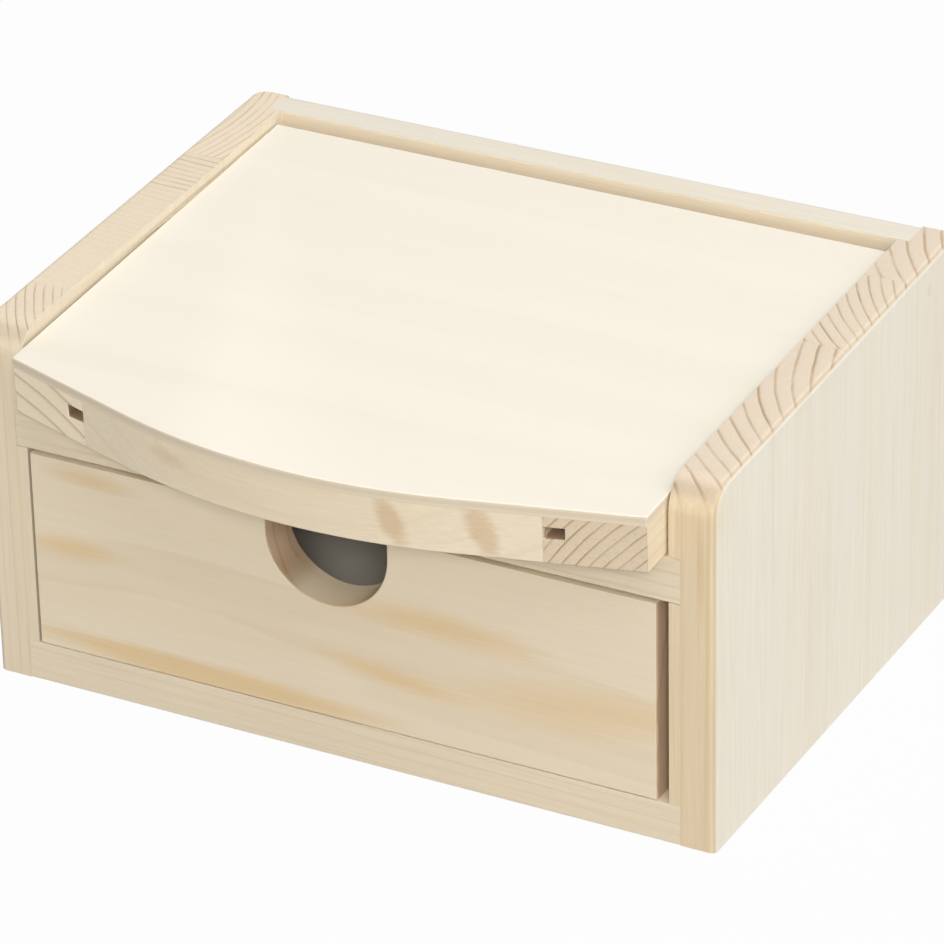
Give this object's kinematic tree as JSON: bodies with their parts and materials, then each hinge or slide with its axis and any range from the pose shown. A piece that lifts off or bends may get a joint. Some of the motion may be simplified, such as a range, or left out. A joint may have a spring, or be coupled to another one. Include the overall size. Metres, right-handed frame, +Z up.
{
  "type": "dressing table mirror",
  "caption": "Small pine dressing table box with a bow-fronted lid that swings up on pins to show a mirror in its underside, above a sliding drawer with a finger notch.",
  "frame": {"origin": "middle of the box's footprint, on the surface that it stands on; the lid's bowed front overhangs the footprint", "axes": "+X towards the right side seen from the drawer front, +Y towards the back panel, +Z up"},
  "size_m": [0.12, 0.0992, 0.062],
  "materials": {
    "pine": "raw sanded pine",
    "plywood": "raw pale plywood",
    "mirror": "silvered glass",
    "pin_steel": "bright drawn wire"
  },
  "bodies": {
    "carcass": {"left_side_panel": "pine", "right_side_panel": "pine", "back_panel": "pine", "bottom_board": "pine", "deck_board": "pine", "left_hinge_pin": "pin_steel", "right_hinge_pin": "pin_steel", "left_pin_plug": "pine", "right_pin_plug": "pine"},
    "lid": {"lid_plywood_top": "plywood", "lid_left_stile": "pine", "lid_right_stile": "pine", "lid_front_rail": "pine", "lid_back_rail": "pine", "mirror_glass": "mirror"},
    "drawer": {"drawer_front": "pine", "drawer_left_side": "pine", "drawer_right_side": "pine", "drawer_back": "pine", "drawer_bottom": "plywood"}
  },
  "joints": [
    {"name": "lid_hinge", "type": "hinge", "parent": "carcass", "child": "lid", "pos_m": [0, 0.0315, 0.05695], "axis": [-1, 0, 0], "range_deg": [0, 103]},
    {"name": "drawer_slide", "type": "slide", "parent": "carcass", "child": "drawer", "axis": [0, -1, 0], "range_m": [0, 0.06]}
  ]
}
